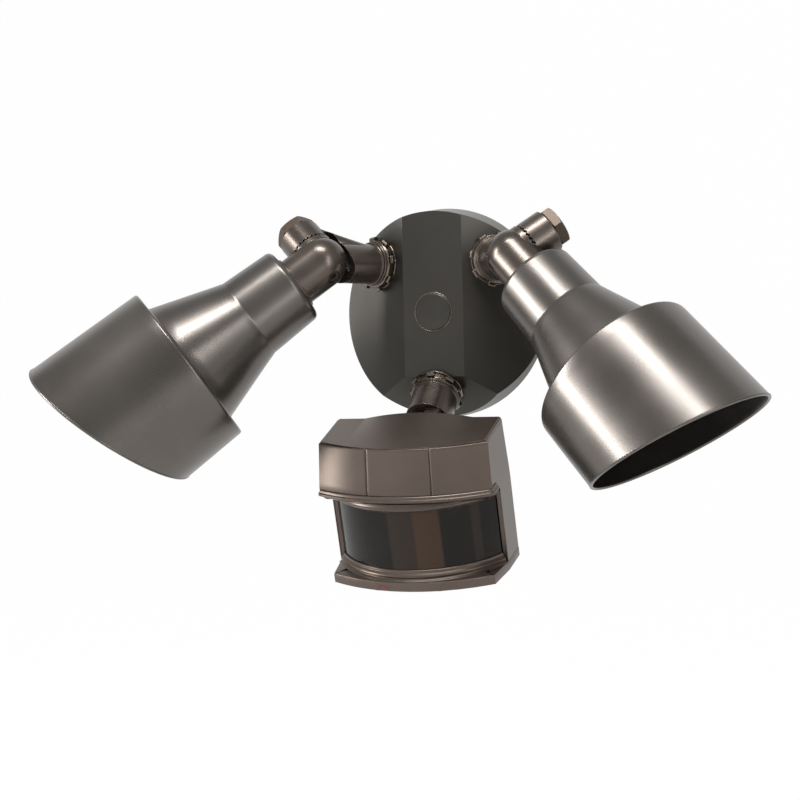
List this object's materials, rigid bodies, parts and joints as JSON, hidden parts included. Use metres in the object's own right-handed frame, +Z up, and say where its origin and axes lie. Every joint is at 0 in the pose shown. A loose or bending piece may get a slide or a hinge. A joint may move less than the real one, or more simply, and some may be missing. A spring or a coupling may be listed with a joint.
{
  "type": "motion sensor security light",
  "caption": "Wall-mounted outdoor light with aimable lamp shades on serrated knuckle arms and a hooded motion sensor head hung below its round bevelled cover plate.",
  "frame": {"origin": "middle of the cover plate's back, on the wall's surface", "axes": "+X to the viewer's right, +Y into the wall, +Z up"},
  "size_m": [0.4374, 0.158, 0.2263],
  "materials": {
    "plate_finish": "satin oil-rubbed bronze",
    "bronze_paint": "satin oil-rubbed bronze",
    "shade_finish": "satin oil-rubbed bronze",
    "plated_steel": "zinc plated",
    "brass_shell": "drawn brass",
    "porcelain": "glazed ceramic",
    "seal_rubber": "matte",
    "gasket_foam": "matte",
    "head_plastic": "metallic bronze, satin",
    "lens_film": "smoked, glossy",
    "board": "solder mask",
    "red_window": "glossy",
    "knob_plastic": "matte"
  },
  "bodies": {
    "base": {"cover_plate": "plate_finish", "wall_gasket": "gasket_foam", "mounting_strap": "plated_steel", "mounting_bolt": "plated_steel", "bolt_plug": "bronze_paint", "left_washer": "gasket_foam", "left_lock_nut": "bronze_paint", "right_washer": "gasket_foam", "right_lock_nut": "bronze_paint", "sensor_washer": "gasket_foam", "sensor_lock_nut": "bronze_paint"},
    "left_arm_body": {"left_arm": "bronze_paint", "left_clamp_cap": "bronze_paint"},
    "left_lamp": {"left_holder": "bronze_paint", "left_clamp_screw": "plated_steel", "left_shade": "shade_finish", "left_shade_nut": "plated_steel", "left_socket": "porcelain", "left_screw_shell": "brass_shell", "left_center_contact": "brass_shell", "left_neck_seal": "seal_rubber"},
    "right_arm_body": {"right_arm": "bronze_paint", "right_clamp_cap": "bronze_paint"},
    "right_lamp": {"right_holder": "bronze_paint", "right_clamp_screw": "plated_steel", "right_shade": "shade_finish", "right_shade_nut": "plated_steel", "right_socket": "porcelain", "right_screw_shell": "brass_shell", "right_center_contact": "brass_shell", "right_neck_seal": "seal_rubber"},
    "sensor_arm_body": {"sensor_arm": "bronze_paint", "sensor_pivot_nut": "plated_steel"},
    "sensor_head": {"sensor_housing": "head_plastic", "visor_panel": "head_plastic", "visor_trim": "head_plastic", "lens": "lens_film", "lens_ring": "head_plastic", "circuit_board": "board", "pir_element": "plated_steel", "indicator": "red_window", "sensor_pivot_screw": "plated_steel"},
    "range_knob_body": {"range_knob": "knob_plastic"},
    "time_switch_body": {"time_switch": "knob_plastic"}
  },
  "joints": [
    {"name": "left_stem_turn", "type": "hinge", "parent": "base", "child": "left_arm_body", "pos_m": [-0.0363, -0.01843, 0.0302], "axis": [-0.4955, -0.8686, 0], "range_deg": [-90, 15]},
    {"name": "left_knuckle", "type": "hinge", "parent": "left_arm_body", "child": "left_lamp", "pos_m": [-0.05894, -0.05813, 0.0302], "axis": [-0.6836, 0.3899, 0.617], "range_deg": [-18, 52]},
    {"name": "right_stem_turn", "type": "hinge", "parent": "base", "child": "right_arm_body", "pos_m": [0.0363, -0.01843, 0.0302], "axis": [0.4955, -0.8686, 0], "range_deg": [-12, 90]},
    {"name": "right_knuckle", "type": "hinge", "parent": "right_arm_body", "child": "right_lamp", "pos_m": [0.05894, -0.05813, 0.0302], "axis": [0.731, 0.4169, 0.5402], "range_deg": [-58, 13]},
    {"name": "sensor_stem_turn", "type": "hinge", "parent": "base", "child": "sensor_arm_body", "pos_m": [0, -0.02195, -0.046], "axis": [0, -0.7396, -0.673], "range_deg": [-20, 20]},
    {"name": "sensor_tilt", "type": "hinge", "parent": "sensor_arm_body", "child": "sensor_head", "pos_m": [0, -0.05102, -0.07245], "axis": [1, 0, 0], "range_deg": [-20, 20]},
    {"name": "range_knob_turn", "type": "hinge", "parent": "sensor_head", "child": "range_knob_body", "pos_m": [-0.02, -0.05705, -0.15248], "axis": [0, 0.3107, -0.9505], "range_deg": [0, 270]},
    {"name": "time_switch_slide", "type": "slide", "parent": "sensor_head", "child": "time_switch_body", "axis": [1, 0, 0], "range_m": [0, 0.006]}
  ]
}
